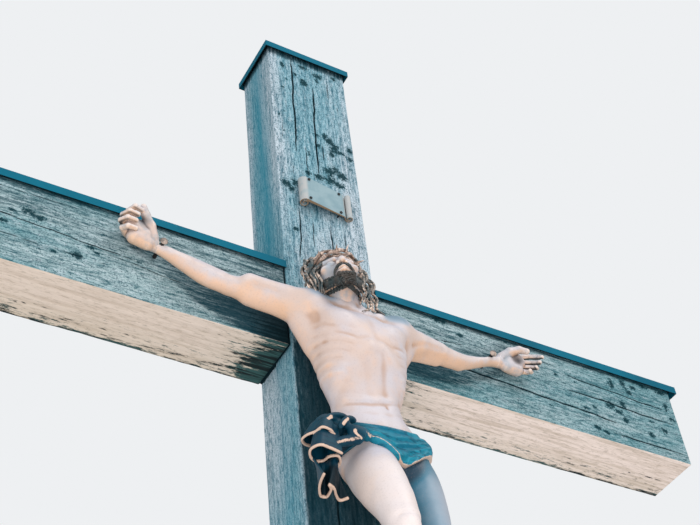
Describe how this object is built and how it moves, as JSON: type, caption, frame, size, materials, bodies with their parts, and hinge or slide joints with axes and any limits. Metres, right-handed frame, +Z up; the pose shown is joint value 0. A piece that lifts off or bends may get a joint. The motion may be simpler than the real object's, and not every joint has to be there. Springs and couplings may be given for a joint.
{
  "type": "wayside crucifix",
  "caption": "Timber wayside cross with sheet-metal caps, a small bare scroll plate and a cast figure nailed to the halved crossbeam and post.",
  "frame": {"origin": "middle of the post's end face at ground level", "axes": "+Z up the post, the figure faces -Y, the crossbeam runs along X; left and right are as seen from in front"},
  "size_m": [2.1, 0.4194, 4.66],
  "materials": {
    "timber": "weathered bare oak, blue-grey, with dark lichen, drying cracks and a paler sheltered underside",
    "sheet": "teal coated folded sheet",
    "steel": "dull galvanised fixings",
    "scroll": "pale patinated casting with brown shading in its folds",
    "flesh": "satin painted casting, tan with lavender tints",
    "hair": "dark painted casting with rubbed light edges",
    "thorns": "dark painted casting with rubbed light edges",
    "cloth": "dark teal patinated casting with light rubbed hems",
    "nail": "satin, rubbed on the heads"
  },
  "bodies": {
    "root": {"post": "timber", "crossbeam": "timber", "post_cap": "sheet", "beam_cap_left": "sheet", "beam_cap_right": "sheet", "upper_joint_bolt": "steel", "lower_joint_bolt": "steel", "bolt_washers": "steel", "upper_bolt_nut": "steel", "lower_bolt_nut": "steel", "scroll_plate": "scroll", "scroll_screws": "steel", "torso": "flesh", "leg_left": "flesh", "leg_right": "flesh", "arm_left": "flesh", "arm_right": "flesh", "head": "flesh", "hair": "hair", "beard": "hair", "crown_of_thorns": "thorns", "loincloth": "cloth", "cloth_knot": "cloth", "cloth_fall": "cloth", "nail_left_hand": "nail", "nail_right_hand": "nail", "nail_feet": "nail"}
  },
  "joints": []
}
